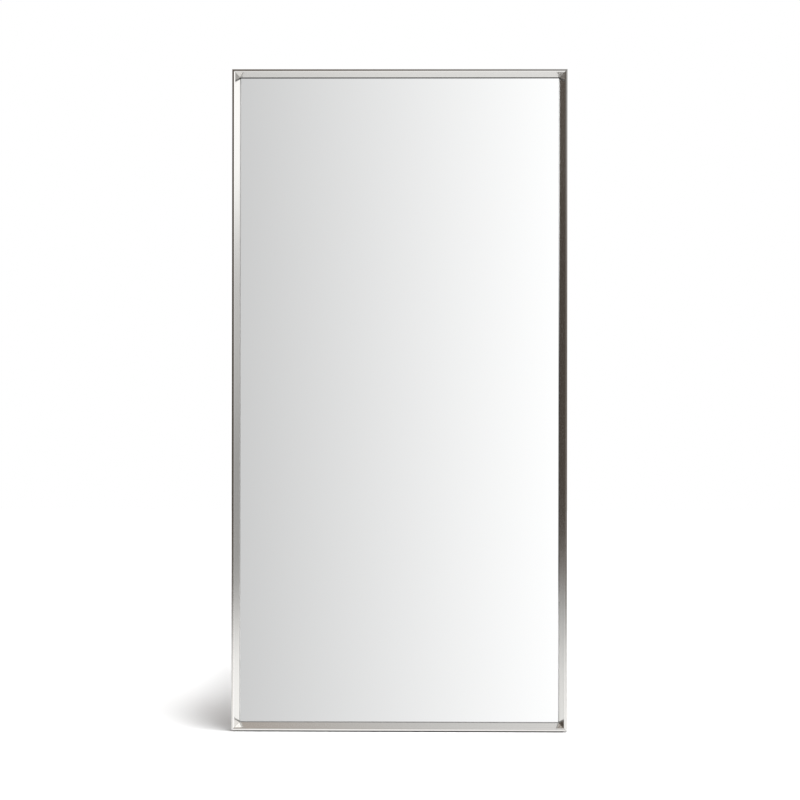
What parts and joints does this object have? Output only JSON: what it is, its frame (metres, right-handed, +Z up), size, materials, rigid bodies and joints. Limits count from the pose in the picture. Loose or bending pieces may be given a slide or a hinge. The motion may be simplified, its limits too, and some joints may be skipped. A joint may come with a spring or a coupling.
{
  "type": "framed wall mirror",
  "caption": "Tall rectangular mirror in a slim splayed metal frame with mitred corners, standing on foot pads, with swinging D-ring hangers behind.",
  "frame": {"origin": "on the floor, in the middle of the whole object's footprint", "axes": "+Z up, -Y out of the mirror towards the viewer, +X to the viewer's right"},
  "size_m": [0.914, 0.048, 1.806],
  "materials": {
    "frame_metal": "fine brushed, warm nickel tone",
    "gasket_rubber": "matt strip",
    "mirror_glass": "polished, silvered on the back",
    "hardboard": "pressed brown board with a screen texture",
    "edge_rubber": "matt block",
    "spring_steel": "blued strip steel",
    "zinc_steel": "zinc plated sheet",
    "black_screw": "black oxide",
    "ring_wire": "nickel plated wire",
    "screw_steel": "bright zinc",
    "foot_rubber": "moulded, matt"
  },
  "bodies": {
    "frame": {"top_rail": "frame_metal", "bottom_rail": "frame_metal", "left_stile": "frame_metal", "right_stile": "frame_metal", "top_gasket": "gasket_rubber", "bottom_gasket": "gasket_rubber", "left_gasket": "gasket_rubber", "right_gasket": "gasket_rubber", "mirror_pane": "mirror_glass", "backing_board": "hardboard", "setting_blocks": "edge_rubber", "edge_spacers": "edge_rubber", "pressure_springs": "spring_steel", "corner_key_bottom_left": "zinc_steel", "corner_shim_bottom_left": "zinc_steel", "corner_key_top_left": "zinc_steel", "corner_shim_top_left": "zinc_steel", "corner_key_top_right": "zinc_steel", "corner_shim_top_right": "zinc_steel", "corner_key_bottom_right": "zinc_steel", "corner_shim_bottom_right": "zinc_steel", "corner_set_screws": "black_screw", "left_hanger_strap": "zinc_steel", "left_slot_nut": "zinc_steel", "left_foot_pad": "foot_rubber", "right_hanger_strap": "zinc_steel", "right_slot_nut": "zinc_steel", "right_foot_pad": "foot_rubber", "hanger_screws": "screw_steel", "wall_bumper_top_left": "foot_rubber", "wall_bumper_top_right": "foot_rubber", "wall_bumper_bottom_left": "foot_rubber", "wall_bumper_bottom_right": "foot_rubber"},
    "left_ring": {"left_d_ring": "ring_wire"},
    "right_ring": {"right_d_ring": "ring_wire"}
  },
  "joints": [
    {"name": "left_ring_swing", "type": "hinge", "parent": "frame", "child": "left_ring", "pos_m": [-0.445, 0.02018, 1.406], "axis": [1, 0, 0], "range_deg": [0, 174]},
    {"name": "right_ring_swing", "type": "hinge", "parent": "frame", "child": "right_ring", "pos_m": [0.445, 0.02018, 1.406], "axis": [1, 0, 0], "range_deg": [0, 174]}
  ]
}
